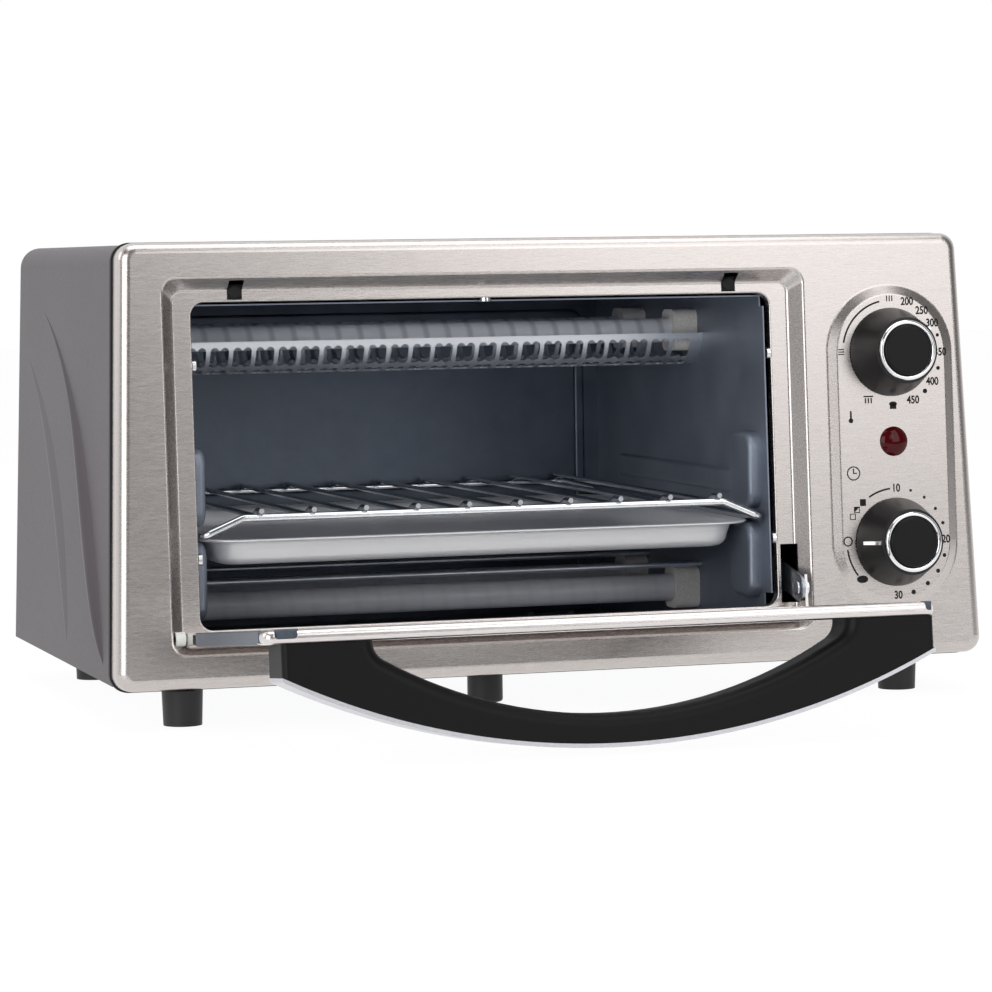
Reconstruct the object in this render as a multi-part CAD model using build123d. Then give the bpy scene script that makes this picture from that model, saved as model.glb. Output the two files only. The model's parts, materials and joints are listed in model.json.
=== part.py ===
from build123d import *
import os
from math import cos, radians, sin

# A small toaster oven with a drop-down glass door, shown with the door open.
# Millimetres: X to the right, Y to the back, Z up. While the pieces are made, Y is 0 at the front
# panel's bottom edge. The finished part stands on Z = 0 with its bounding box centred on the origin.
os.makedirs("parts", exist_ok=True)

# Front panel: a leaning stainless sheet, sizes along its own face (w is up the face)
panel_bottom_width = 376.0
panel_top_width = 363.0
panel_height = 179.3
panel_rake = 3.5
panel_lift = 16.5
panel_corner_radius = 7.0
panel_edge_radius = 4.6
panel_rim_depth = 13.0
panel_sheet = 0.8
press_radius = 1.4

# Black frame behind the panel's rim, and the case
frame_depth = 2.5
frame_proud = 0.7
frame_width = 10.5
case_depth = 246.0
case_inset = 1.0
case_sheet = 0.8
case_base = 17.5
case_corner_radius = 9.0
case_back_radius = 10.0
case_back_lip = 16.0
case_foot_radius = 9.0
case_gap = 0.2
vent_length = 28.0
vent_width = 3.0
vent_pitch = 8.0
vent_rows = 6
vent_columns = 3
vent_column_pitch = 38.0
vent_low = 108.0
grommet_x = 150.0
grommet_z = 44.0
grommet_neck_radius = 6.4
grommet_bore_radius = 3.8
grommet_flange_radius = 9.0
grommet_flange = 2.0

# Door recess and window in the panel
door_centre = -27.3
window_width = 249.0
window_low = 23.1
window_high = 155.2
window_radius = 5.5
window_flange = 4.0
window_edge_radius = 0.6
recess_width = 275.0
recess_low = 13.5
recess_high = 164.8
recess_radius = 6.0
recess_floor_radius = 4.5
recess_slope = 5.0
recess_depth = 6.5

# Oven cavity
cavity_sheet = 0.6
cavity_left_margin = -0.2
cavity_right_margin = 2.6
cavity_back = 234.4
ceiling_drop = 1.4
cavity_front_gap = 0.4
back_rib_inset = 7.0
back_rib_width = 5.0
back_rib_height = 1.6
back_rib_round = 1.4
guide_shelf = 73.6
guide_gap = 6.2
guide_reach = 6.0
guide_low_height = 32.0
guide_high_height = 32.0
guide_length = 24.0
guide_front = 19.0
guide_corner_radius = 7.0
guide_edge_radius = 2.4
guide_back = 182.0
bead_front = 44.0
bead_back = 200.0
bead_low = 85.0
bead_high = 95.0
bead_reach = 2.2
bead_corner_radius = 4.0
bead_edge_radius = 1.5

# Heaters, guards
heater_front_y = 104.0
heater_back_y = 172.0
upper_heater_z = 154.3
lower_heater_z = 40.0
upper_tube_radius = 5.3
lower_tube_radius = 6.0
tube_wall = 1.3
coil_radius = 2.4
end_block_length = 10.8
end_block_width = 16.0
end_block_height = 18.2
end_block_radius = 4.0
tube_seat = 5.0
coil_seat = 3.0
tube_fit = 0.1
guard_radius = 14.0
guard_drop = 1.1
guard_sheet = 0.7
guard_slot_pitch = 9.9
guard_slot_count = 24
guard_lobe_width = 3.6
guard_lobe_step = 4.4
guard_tongue = 1.2
guard_side_lobe = 10.0
guard_side_turn = 59.5
guard_low_lobe = 6.2
guard_low_turn = 17.0
guard_rod_radius = 1.2
guard_rod_z = 50.8
guard_rod_offset = 10.0

# Wire rack and baking pan, both on the guides' shelf
rack_side_gap = 2.6
rack_rail_radius = 1.6
rack_wire_radius = 1.1
rack_wire_count = 10
rack_wire_pitch = 21.94
rack_wire_shift = 2.1
rack_front = 13.0
rack_back = 229.0
rack_rail_z = 83.7
rack_slope_run = 17.0
rack_bend = 4.0
rack_wire_bend = 2.2
rack_clearance = 0.15
wire_end = 1.6
wire_step_flat = 4.0
wire_step_run = 7.0
pan_sheet = 1.0
pan_lip_clearance = 0.1
pan_side_gap = 2.4
pan_lip = 8.0
pan_front = 15.0
pan_back = 225.0
pan_depth = 11.0
pan_draft = 4.0
pan_corner_radius = 12.0

# Crumb tray under the cavity, hinged at the back
tray_gap = 0.6
tray_half_width = 119.1
tray_front = 18.0
tray_back = 211.0
tray_hinge_y = 214.0
tray_hinge_spread = 90.0
tray_knuckle_radius = 2.4
tray_knuckle_length = 16.0
tray_pin_radius = 1.2
tray_ear = 3.0
tray_ear_gap = 0.4
tray_knob_radius = 7.4
tray_knob_lift = 2.8
tray_knob_edge_radius = 1.2
tray_knob_y = 26.0

# Feet
foot_inset = 30.0
foot_front_y = 22.0
foot_back_y = 206.0
foot_top_radius = 8.4
foot_bottom_radius = 7.9
foot_neck_radius = 5.5
foot_neck_height = 3.0
foot_screw_radius = 1.7
foot_screw_head_radius = 3.4
foot_screw_head = 1.8
foot_screw_depth = 9.0
screw_fit = 0.05

# Controls at the right of the panel
control_x = 148.6
temperature_w = 128.8
timer_w = 48.3
lamp_w = 90.7
emboss_radius = 28.5
emboss_slope = 4.0
emboss_height = 1.8
emboss_foot_radius = 2.0
knob_base_radius = 18.7
knob_top_radius = 13.8
knob_height = 16.6
knob_gap = 0.6
knob_edge_radius = 0.6
cap_edge_radius = 1.2
ring_radius = 12.75
ring_height = 1.6
cap_radius = 10.65
cap_height = 2.0
pointer_width = 1.5
pointer_sink = 1.0
pointer_rise = 0.5
pointer_low = 5.0
pointer_margin = 0.8
temperature_pointer_turn = 40.0
timer_pointer_turn = 180.0
shaft_radius = 3.0
shaft_fit = 0.05
shaft_knob_depth = 12.0
shaft_body_depth = 8.0
shaft_hole_radius = 4.2
bracket_stand = 8.2
bracket_sheet = 1.0
bracket_width = 60.4
bracket_margin = 2.0
bracket_leg_height = 8.0
bracket_leg_spread = 45.0
neck_radius = 5.0
neck_gap = 0.4
neck_reach = 6.0
thermostat_size = 36.0
thermostat_depth = 24.0
timer_radius = 22.0
timer_depth = 30.0
bell_radius = 16.0
bell_depth = 8.0
bell_sheet = 1.0
bell_post_radius = 2.5
lens_radius = 6.3
lens_stem_radius = 5.5
lens_head = 2.2
lens_round = 1.8
lens_stem = 9.0
lens_hole_gap = 0.1
lamp_radius = 3.1
lamp_length = 14.0
lamp_seat = 6.0
terminal_length = 26.0
terminal_width = 14.0
terminal_height = 12.0
terminal_y = 150.0

# Door, in its own directions: s from the hinge towards the handle, n out of its inner face
hinge_w = 20.4
hinge_sink = 2.5
door_tilt = 5.6
door_half_width = 133.4
door_reach = 139.5
door_inner = 2.2
door_outer = 3.0
door_heel = 2.4
rail_edge_radius = 2.2
trim_depth = 14.0
trim_sheet = 0.7
trim_edge_radius = 2.3
trim_inner_radius = 1.3
trim_corner_radius = 3.5
trim_web = 1.0
rail_depth = 20.0
rail_end_gap = 1.5
glass_thickness = 3.6
glass_side_gap = 3.0
glass_seat = 6.5
glass_fit = 0.1
hinge_pin_radius = 1.5
hinge_pin_seat = 10.0
hinge_fit = 0.05
bush_radius = 2.9
bush_gap = 0.4
bush_length = 3.9
trim_notch_depth = 3.4
trim_left_notch = (4.1, 12.7)
trim_right_notch = (-1.0, 4.5)
trim_notch_drop = 3.2
trim_notch_radius = 1.5

# Link arm at the door's right end, and its slot in the recess
link_tab_sheet = 1.2
link_tab_near = 4.5
link_tab_far = 11.5
link_tab_rise = 15.5
link_rivet_s = 8.0
link_rivet_n = 10.0
link_rivet_radius = 1.8
link_rivet_head_radius = 3.2
link_rivet_head = 0.9
link_gap = 0.4
link_sheet = 1.2
link_height = 11.0
link_length = 42.0
link_tilt = 12.0
link_slot_low = 24.3
link_slot_high = 49.0
link_slot_width = 7.4
link_slot_margin = 1.6

# Handle on the door's outer face
handle_half_width = 129.7
handle_shift = 3.3
handle_leg_width = 35.5
handle_leg_height = 12.4
handle_bow = 42.6
handle_grip = 11.2
handle_drop = 5.0
handle_corner_radius = 8.0
handle_grip_radius = 5.0
handle_depth = 21.0
handle_setback = 1.5
handle_end_radius = 2.5
strip_thickness = 1.6
handle_screw_radius = 1.5
handle_screw_head_radius = 2.0
handle_screw_head = 1.2
handle_screw_depth = 8.0
handle_screw_spread = 9.0
handle_screw_margin = 0.3

# Door bumpers and the screws seen in the window and at the back
bumper_spread = 106.3
bumper_slot_width = 6.2
bumper_slot_low = 156.0
bumper_slot_high = 163.6
bumper_button_radius = 2.9
bumper_button_w = 159.2
bumper_button_rise = 1.6
bumper_button_round = 1.3
bumper_fit = 0.1
bumper_plate = 1.2
screw_radius = 1.4
screw_head_radius = 2.5
screw_head = 1.5
screw_length = 5.0
side_screw_high = 129.8
side_screw_low = 51.7
back_screw_low = 30.0
back_screw_high = 160.0

# Places worked out from the sizes above
rake = radians(panel_rake)
tilt = radians(door_tilt)
panel_top_z = panel_lift + panel_height * cos(rake)
case_top = panel_top_z - case_inset
side_slope = (panel_bottom_width - panel_top_width) / 2 / panel_height
panel_face = Plane(origin=(0, 0, panel_lift), x_dir=(1, 0, 0), z_dir=(0, -cos(rake), sin(rake)))
hinge_point = panel_face.from_local_coords(Vector(door_centre, hinge_w, -hinge_sink))
door_face = Plane(origin=hinge_point, x_dir=(1, 0, 0), z_dir=(0, sin(tilt), cos(tilt)))
case_front = panel_rim_depth + frame_depth
base_top = case_base + case_sheet
cavity_left = door_centre - window_width / 2 + cavity_left_margin
cavity_right = door_centre + window_width / 2 - cavity_right_margin
cavity_centre = (cavity_left + cavity_right) / 2
cavity_half = (cavity_right - cavity_left) / 2
cavity_front_sink = recess_depth + panel_sheet + cavity_front_gap
ceiling_top = panel_lift + window_high * cos(rake) - ceiling_drop
ceiling_low = ceiling_top - cavity_sheet
recess_middle = (recess_low + recess_high) / 2
recess_tall = recess_high - recess_low
window_middle = (window_low + window_high) / 2
window_tall = window_high - window_low
emboss_top = emboss_height + knob_gap
door_middle = (door_inner - door_outer) / 2
door_left = -door_half_width
door_right = door_half_width
bracket_back = panel_sheet + bracket_stand + bracket_sheet


def block(x0, x1, y0, y1, z0, z1):
    """A box between two corners."""
    return Pos((x0 + x1) / 2, (y0 + y1) / 2, (z0 + z1) / 2) * Box(x1 - x0, y1 - y0, z1 - z0)


def rod_x(x0, x1, y, z, radius):
    """A round rod along X."""
    return Pos((x0 + x1) / 2, y, z) * Rot(0, 90, 0) * Cylinder(radius, x1 - x0)


def rod_z(x, y, z0, z1, radius):
    """A round rod along Z."""
    return Pos(x, y, (z0 + z1) / 2) * Cylinder(radius, z1 - z0)


def group(shapes):
    """Separate solids that make up one node."""
    return Compound([solid for shape in shapes for solid in shape.solids()])


def case_half_width(z):
    """Half the case's outside width at a height: its sides lean in."""
    return panel_bottom_width / 2 - case_inset - (z - panel_lift) * side_slope


def behind_panel(shape, sink):
    """What is left of a shape further back than a plane parallel to the panel."""
    reach = 2 * panel_height
    return shape - panel_face * block(-reach, reach, -reach, 2 * reach, -sink, reach)


# Front panel
def panel_outline(inset, radius):
    low = panel_bottom_width / 2 - inset
    high = panel_top_width / 2 - inset
    top = panel_height - inset
    corners = [(-low, inset), (low, inset), (high, top), (-high, top)]
    return fillet(make_face(Polyline(corners, close=True)).vertices(), radius)


def panel_form(inset, front, back):
    outline = panel_outline(inset, panel_corner_radius - inset)
    form = Pos(0, 0, front) * extrude(outline, amount=-(back + front))
    edge = form.faces().sort_by(Axis.Z)[-1].edges()
    return fillet(edge, panel_edge_radius - inset)


def recess_form(grow, floor):
    mouth = RectangleRounded(recess_width + 2 * grow, recess_tall + 2 * grow, recess_radius + grow)
    narrow = 2 * (grow - recess_slope)
    bed = RectangleRounded(recess_width + narrow, recess_tall + narrow, recess_floor_radius + grow)
    form = Pos(door_centre, recess_middle, 0) * loft([mouth, Pos(0, 0, -floor) * bed], ruled=True)
    return fillet(form.faces().sort_by(Axis.Z)[0].edges(), press_radius + grow)


def window_form(grow, front, back):
    outline = RectangleRounded(window_width + 2 * grow, window_tall + 2 * grow, window_radius + grow)
    return Pos(door_centre, window_middle, -front) * extrude(outline, amount=-(back - front))


def emboss_form(front):
    middle = (temperature_w + timer_w) / 2
    length = temperature_w - timer_w
    base = Rot(0, 0, 90) * SlotCenterToCenter(length, 2 * emboss_radius)
    top = Rot(0, 0, 90) * SlotCenterToCenter(length, 2 * (emboss_radius - emboss_slope))
    form = Pos(control_x, middle, front) * loft([base, Pos(0, 0, emboss_height) * top], ruled=True)
    return fillet(form.faces().sort_by(Axis.Z)[-1].edges(), press_radius)


def level_edges(shape, level, x, w, half_width, half_height):
    """Edges of a shape in the panel's directions that lie at one depth, inside a rectangle around a point."""
    found = []
    for edge in shape.edges():
        box = edge.bounding_box()
        middle = edge.center()
        flat = abs(box.min.Z - level) < 0.01 and abs(box.max.Z - level) < 0.01
        if flat and abs(middle.X - x) < half_width and abs(middle.Y - w) < half_height:
            found.append(edge)
    return found


def link_slot():
    right = door_right - rail_end_gap + link_slot_margin + door_centre
    left = right - link_slot_width
    return block(left, right, link_slot_low, link_slot_high, -2 * recess_depth, -panel_sheet)


def bumper_slot(x):
    half = bumper_slot_width / 2
    return block(x - half, x + half, bumper_slot_low, bumper_slot_high, -2 * recess_depth, -panel_sheet)


def bush_place(side, radius, length):
    """A rod on the hinge line, outwards from just past the end of the door's rail."""
    start = door_half_width - rail_end_gap + bush_gap
    x0 = door_centre + side * start
    x1 = door_centre + side * (start + length)
    return rod_x(min(x0, x1), max(x0, x1), hinge_w, -hinge_sink, radius)


def window_screw_places():
    """Screws through the window's folded edge: place on the panel, and the turn of the screw's head."""
    side = window_width / 2
    places = [(door_centre, window_high, 90, 0)]
    for w in (side_screw_low, side_screw_high):
        places.append((door_centre + side, w, 0, -90))
        places.append((door_centre - side, w, 0, 90))
    return [Pos(x, w, -window_flange / 2 - recess_depth) * Rot(rx, ry, 0) for x, w, rx, ry in places]


def screw(radius, length, head_radius, head):
    """A screw pointing down from Z = 0, with its head above."""
    return rod_z(0, 0, -length, 0, radius) + rod_z(0, 0, 0, head, head_radius)


def front_panel():
    back = recess_depth + panel_sheet
    shell = panel_form(0, 0, panel_rim_depth)
    shell -= panel_form(panel_sheet, -panel_sheet, panel_rim_depth + 1)
    shell += recess_form(panel_sheet, back) & block(-500, 500, -10, 500, -2 * back, -panel_sheet / 2)
    shell += window_form(panel_sheet, recess_depth, back + window_flange)
    shell -= recess_form(0, recess_depth)
    shell -= window_form(0, 0, 2 * back + window_flange)
    mouth = level_edges(shell, 0, door_centre, recess_middle, recess_width / 2 + 1, recess_tall / 2 + 1)
    shell = fillet(mouth, press_radius)
    half_width = window_width / 2 + 1
    rim = level_edges(shell, -recess_depth, door_centre, window_middle, half_width, window_tall / 2 + 1)
    shell = fillet(rim, window_edge_radius)
    shell += emboss_form(0)
    control_w = (temperature_w + timer_w) / 2
    foot = level_edges(shell, 0, control_x, control_w, emboss_radius + 1, panel_height / 2)
    shell = fillet(foot, emboss_foot_radius)
    shell -= emboss_form(-panel_sheet)
    for w in (temperature_w, timer_w):
        shell -= rod_z(control_x, w, -back, back, shaft_hole_radius)
    shell -= rod_z(control_x, lamp_w, -back, back, lens_stem_radius + lens_hole_gap)
    shell -= link_slot()
    for side in (-1, 1):
        shell -= bumper_slot(door_centre + side * bumper_spread)
        shell -= bush_place(side, bush_radius + hinge_fit, bush_length + 1)
    for place in window_screw_places():
        shell -= place * rod_z(0, 0, -screw_length, screw_head, screw_radius + screw_fit)
    return panel_face * shell


def panel_screws():
    return group([panel_face * place * screw(screw_radius, screw_length, screw_head_radius, screw_head)
                  for place in window_screw_places()])


def front_frame():
    ring = extrude(panel_outline(-frame_proud, panel_corner_radius + frame_proud), amount=-frame_depth)
    inset = frame_width - frame_proud
    low = panel_bottom_width / 2 - inset
    high = panel_top_width / 2 - inset
    corners = [(-low, inset), (low, inset), (high, panel_height - inset), (-high, panel_height - inset)]
    ring -= extrude(make_face(Polyline(corners, close=True)), amount=-frame_depth)
    return panel_face * Pos(0, 0, -panel_rim_depth) * ring


# Case
def case_form(inset, low):
    top = case_top - inset
    foot = case_half_width(low) - inset
    head = case_half_width(top) - inset
    outline = make_face(Polyline([(-foot, low), (foot, low), (head, top), (-head, top)], close=True))
    outline = fillet(outline.vertices().sort_by(Axis.Y)[-2:], case_corner_radius - inset)
    form = extrude(Plane.XZ * outline, amount=-(case_depth - inset))
    rear = form.faces().sort_by(Axis.Y)[-1].edges().sort_by(Axis.Z)[1:]
    return fillet(rear, case_back_radius - inset)


def rear_outline(inset, low):
    """The case's rear outline, a margin inside the outside of the case."""
    top = case_top - inset
    foot = case_half_width(low) - inset
    head = case_half_width(top) - inset
    return make_face(Polyline([(-foot, low), (foot, low), (head, top), (-head, top)], close=True))


def outer_wrap():
    wrap = case_form(0, case_base) - case_form(case_sheet, case_base - case_sheet)
    opening = extrude(Plane.XZ * rear_outline(case_back_lip, case_base - case_sheet), amount=-2 * case_depth)
    wrap -= opening & block(-500, 500, case_depth / 2, 2 * case_depth, 0, 500)
    for place in back_screw_places():
        wrap -= place * rod_z(0, 0, -screw_length, screw_head, screw_radius + screw_fit)
    rear = case_depth - case_foot_radius
    rise = case_base + case_foot_radius
    width = panel_bottom_width / 2
    inner = case_half_width(case_base) - case_back_radius
    for x0, x1 in ((-width, -inner), (inner, width)):
        corner = block(x0, x1, rear, 2 * case_depth, 0, rise)
        wrap -= corner - rod_x(x0, x1, rear, rise, case_foot_radius)
    return behind_panel(wrap, case_front)


def back_screw_places():
    places = []
    for z in (back_screw_low, back_screw_high):
        x = case_half_width(z) - case_back_lip + screw_head_radius + 1
        places += [Pos(side * x, case_depth, z) * Rot(-90, 0, 0) for side in (-1, 1)]
    return places


def back_panel():
    rear = case_depth - case_sheet
    margin = case_sheet + case_back_radius
    sheet = extrude(Plane.XZ * rear_outline(margin, base_top), amount=-rear)
    sheet &= block(-500, 500, rear - case_sheet, rear, 0, 500)
    middle = door_centre
    for column in range(vent_columns):
        x = middle + (column - (vent_columns - 1) / 2) * vent_column_pitch
        for row in range(vent_rows):
            slot = Pos(x, vent_low + row * vent_pitch) * SlotOverall(vent_length, vent_width)
            sheet -= extrude(Plane.XZ * slot, amount=-2 * case_depth)
    sheet -= Pos(grommet_x, rear, grommet_z) * Rot(90, 0, 0) * Cylinder(grommet_neck_radius, 4 * case_sheet)
    for place in back_screw_places():
        sheet -= place * rod_z(0, 0, -screw_length, screw_head, screw_radius + screw_fit)
    return sheet


def back_screws():
    return group([place * screw(screw_radius, screw_length, screw_head_radius, screw_head)
                  for place in back_screw_places()])


def cord_grommet():
    outside = case_depth - case_sheet
    inside = outside - case_sheet
    turn = Rot(-90, 0, 0)
    neck = rod_z(0, 0, inside, outside, grommet_neck_radius)
    neck += rod_z(0, 0, outside, outside + grommet_flange, grommet_flange_radius)
    neck += rod_z(0, 0, inside - grommet_flange, inside, grommet_flange_radius)
    neck -= rod_z(0, 0, inside - 2 * grommet_flange, outside + 2 * grommet_flange, grommet_bore_radius)
    return Pos(grommet_x, 0, grommet_z) * turn * neck


def foot_places():
    x = case_half_width(case_base) - foot_inset
    return {
        "front_left_foot": (-x, foot_front_y),
        "front_right_foot": (x, foot_front_y),
        "back_left_foot": (-x, foot_back_y),
        "back_right_foot": (x, foot_back_y),
    }


def tray_hinge_places():
    return [door_centre - tray_hinge_spread, door_centre + tray_hinge_spread]


def bottom_plate():
    half = case_half_width(case_base) - case_sheet - case_gap
    back = case_depth - 2 * case_sheet - case_gap
    sheet = block(-half, half, 0, back, case_base, base_top)
    rear = sheet.edges().filter_by(Axis.Z).sort_by(Axis.Y)[-2:]
    sheet = behind_panel(fillet(rear, case_back_radius), case_front + case_gap)
    tray_half = tray_half_width + tray_gap
    sheet -= block(door_centre - tray_half, door_centre + tray_half,
                   tray_front - tray_gap, tray_back + tray_gap, 0, 2 * base_top)
    middle = (case_base + base_top) / 2
    for x in tray_hinge_places():
        reach = tray_knuckle_length / 2 + tray_ear_gap
        room = tray_knuckle_radius + tray_gap
        sheet -= block(x - reach, x + reach, tray_back, tray_hinge_y + room, 0, 2 * base_top)
        for x0 in (x - reach - tray_ear, x + reach):
            ear = block(x0, x0 + tray_ear, tray_hinge_y - tray_knuckle_radius, tray_hinge_y + room,
                        case_base, base_top + tray_knuckle_radius)
            sheet += ear - rod_x(x0, x0 + tray_ear, tray_hinge_y, middle, tray_pin_radius)
        sheet -= rod_x(x - 2 * reach, x + 2 * reach, tray_hinge_y, middle, tray_pin_radius)
    for x, y in foot_places().values():
        sheet -= rod_z(x, y, 0, 2 * base_top, foot_screw_radius + screw_fit)
    return sheet


def foot(x, y):
    body = case_base - foot_neck_height
    shape = Pos(x, y, body / 2) * Cone(foot_bottom_radius, foot_top_radius, body)
    shape += rod_z(x, y, body, case_base, foot_neck_radius)
    return shape - rod_z(x, y, case_base - foot_screw_depth, 2 * case_base, foot_screw_radius + screw_fit)


def foot_screws():
    length = foot_screw_depth - 1
    fixing = screw(foot_screw_radius, length, foot_screw_head_radius, foot_screw_head)
    return group([Pos(x, y, base_top) * fixing for x, y in foot_places().values()])


# Oven cavity
def softened(bump, side, corner, edge):
    """A pressed bump with round corners, and soft edges where it faces the cavity."""
    bump = fillet(bump.edges().filter_by(Axis.X), corner)
    inner = bump.faces().sort_by(Axis.X)[-1 if side < 0 else 0]
    return fillet(inner.edges(), edge)


def pressed(side, reach, front, back, low, high, corner, edge):
    """A pressed bump on a side wall, and the hollow behind it."""
    face = cavity_centre + side * (cavity_half - reach)
    wall = cavity_centre + side * (cavity_half + cavity_sheet)
    x0 = min(face, wall)
    x1 = max(face, wall)
    bump = block(x0, x1, front, back, low, high)
    hollow = Pos(side * cavity_sheet, 0, 0) * block(
        x0, x1, front + cavity_sheet, back - cavity_sheet, low + cavity_sheet, high - cavity_sheet)
    bump = softened(bump, side, corner, edge)
    return bump, softened(hollow, side, corner - cavity_sheet, edge - cavity_sheet)


def guide_bump(side, front, low, high):
    """A pressed bump with a level shelf for the rack and the pan."""
    back = front + guide_length
    return pressed(side, guide_reach, front, back, low, high, guide_corner_radius, guide_edge_radius)


def wall_bead(side):
    """A long low bead above the rack, which stiffens the wall."""
    corner = bead_corner_radius
    return pressed(side, bead_reach, bead_front, bead_back, bead_low, bead_high, corner, bead_edge_radius)


def side_wall(side):
    inner = cavity_centre + side * cavity_half
    outer = inner + side * cavity_sheet
    wall = block(min(inner, outer), max(inner, outer), 0, cavity_back + cavity_sheet, base_top, ceiling_top)
    wall = behind_panel(wall, cavity_front_sink if side > 0 else cavity_front_sink + window_flange)
    width = panel_bottom_width
    below = window_low + window_radius
    wall -= panel_face * block(-width, width, -panel_height, below, -case_front - cavity_front_gap, 0)
    above = window_high - window_radius
    wall -= panel_face * block(-width, width, above, 2 * panel_height, -cavity_front_sink - window_flange, 0)
    low = guide_shelf - guide_low_height
    high = guide_shelf + guide_gap
    forms = [guide_bump(side, guide_front, low, guide_shelf)]
    forms.append(guide_bump(side, guide_front, high, high + guide_high_height))
    forms.append(guide_bump(side, guide_back, low, guide_shelf))
    forms.append(wall_bead(side))
    for bump, hollow in forms:
        wall = wall + bump - hollow
    return wall


def cavity_ceiling():
    sheet = block(cavity_left, cavity_right, 0, cavity_back + cavity_sheet, ceiling_low, ceiling_top)
    return behind_panel(sheet, cavity_front_sink + window_flange)


def cavity_back_wall():
    sheet = block(cavity_left, cavity_right, cavity_back, cavity_back + cavity_sheet, base_top, ceiling_low)
    middle = (base_top + ceiling_low) / 2
    width = cavity_right - cavity_left - 2 * back_rib_inset
    height = ceiling_low - base_top - 2 * back_rib_inset
    rib = RectangleRounded(width, height, back_rib_inset)
    rib -= RectangleRounded(width - 2 * back_rib_width, height - 2 * back_rib_width, back_rib_width)
    rib = extrude(Plane.XZ * Pos(cavity_centre, middle) * rib, amount=back_rib_height)
    rib = fillet(rib.faces().sort_by(Axis.Y)[0].edges(), back_rib_round)
    return sheet + Pos(0, cavity_back, 0) * rib


# Heaters
def end_block(side, y, z, tube_radius):
    """A ceramic block on the side wall that holds one end of a tube."""
    outer = cavity_half
    inner = outer - end_block_length
    half_width = end_block_width / 2
    half_height = end_block_height / 2
    body = block(inner, outer, -half_width, half_width, -half_height, half_height)
    body = fillet(body.edges().filter_by(Axis.X), end_block_radius)
    body -= rod_x(inner, inner + tube_seat, 0, 0, tube_radius + tube_fit)
    body -= rod_x(inner, inner + tube_seat + coil_seat, 0, 0, coil_radius + tube_fit)
    turn = Rot(0, 0, 0) if side > 0 else Rot(0, 0, 180)
    return Pos(cavity_centre, y, z) * turn * body


def end_blocks(z, tube_radius):
    places = [(side, y) for y in (heater_front_y, heater_back_y) for side in (-1, 1)]
    return group([end_block(side, y, z, tube_radius) for side, y in places])


def quartz_tubes(z, radius):
    half = cavity_half - end_block_length + tube_seat
    tubes = []
    for y in (heater_front_y, heater_back_y):
        tube = rod_x(cavity_centre - half, cavity_centre + half, y, z, radius)
        tubes.append(tube - rod_x(cavity_centre - half, cavity_centre + half, y, z, radius - tube_wall))
    return group(tubes)


def heating_coils():
    half = cavity_half - end_block_length + tube_seat + coil_seat
    return group([rod_x(cavity_centre - half, cavity_centre + half, y, z, coil_radius)
                  for y in (heater_front_y, heater_back_y) for z in (upper_heater_z, lower_heater_z)])


def guard_slot(height):
    """A slot with two round-ended lobes, open between them."""
    lobe = Rot(0, 0, 90) * SlotOverall(height, guard_lobe_width)
    half = guard_lobe_step / 2
    bridge = Rectangle(guard_lobe_step, height - 2 * guard_tongue)
    return Pos(-half, 0) * lobe + Pos(half, 0) * lobe + bridge


def upper_guard(y):
    z = upper_heater_z - guard_drop
    trough = rod_x(cavity_left, cavity_right, y, z, guard_radius)
    trough -= rod_x(cavity_left, cavity_right, y, z, guard_radius - guard_sheet)
    trough &= block(cavity_left, cavity_right, y - guard_radius, y + guard_radius, z - guard_radius, z)
    rows = ((guard_side_turn, guard_slot(guard_side_lobe)), (guard_low_turn, guard_slot(guard_low_lobe)))
    cutters = []
    for index in range(guard_slot_count):
        x = cavity_centre + (index - (guard_slot_count - 1) / 2) * guard_slot_pitch
        for turn, slot in rows:
            for side in (-1, 1):
                place = Pos(x, y, z) * Rot(side * turn, 0, 0)
                cutters.append(place * extrude(slot, amount=-1.3 * guard_radius))
    return trough - cutters


def lower_guard_rods():
    places = (heater_front_y - guard_rod_offset, heater_back_y - guard_rod_offset)
    return group([rod_x(cavity_left, cavity_right, y, guard_rod_z, guard_rod_radius) for y in places])


# Rack and pan
def bent_rod(points, radius, bend):
    """A wire along straight runs joined by bends."""
    path = FilletPolyline(*points, radius=bend) if len(points) > 2 else Polyline(*points)
    start = Plane(origin=path @ 0, z_dir=path % 0)
    return sweep(start * Circle(radius), path=path)


def rack_contact():
    """How far a wire's centre is from the centre of the rail that it is welded to."""
    return rack_rail_radius + rack_wire_radius


def rack_frame():
    side = cavity_half - rack_side_gap
    low = guide_shelf + pan_lip_clearance + pan_sheet + rack_clearance + rack_rail_radius
    left = cavity_centre - side
    right = cavity_centre + side
    middle = (rack_front + rack_back) / 2
    frame = Part()
    for y, rail_z in ((rack_front, rack_rail_z), (rack_back, rack_rail_z - rack_contact())):
        frame += bent_rod([
            (left, middle, low),
            (left, y, low),
            (left + rack_slope_run, y, rail_z),
            (right - rack_slope_run, y, rail_z),
            (right, y, low),
            (right, middle, low),
        ], rack_rail_radius, rack_bend)
    return frame


def rack_wires():
    wire_z = rack_rail_z + rack_contact()
    wires = []
    for index in range(rack_wire_count):
        x = cavity_centre + rack_wire_shift + (index - (rack_wire_count - 1) / 2) * rack_wire_pitch
        wires.append(bent_rod([
            (x, rack_front - rack_wire_radius - wire_end, wire_z),
            (x, rack_front + wire_step_flat, wire_z),
            (x, rack_front + wire_step_flat + wire_step_run, rack_rail_z),
            (x, rack_back + rack_rail_radius, rack_rail_z),
        ], rack_wire_radius, rack_wire_bend))
    return group(wires)


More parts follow.
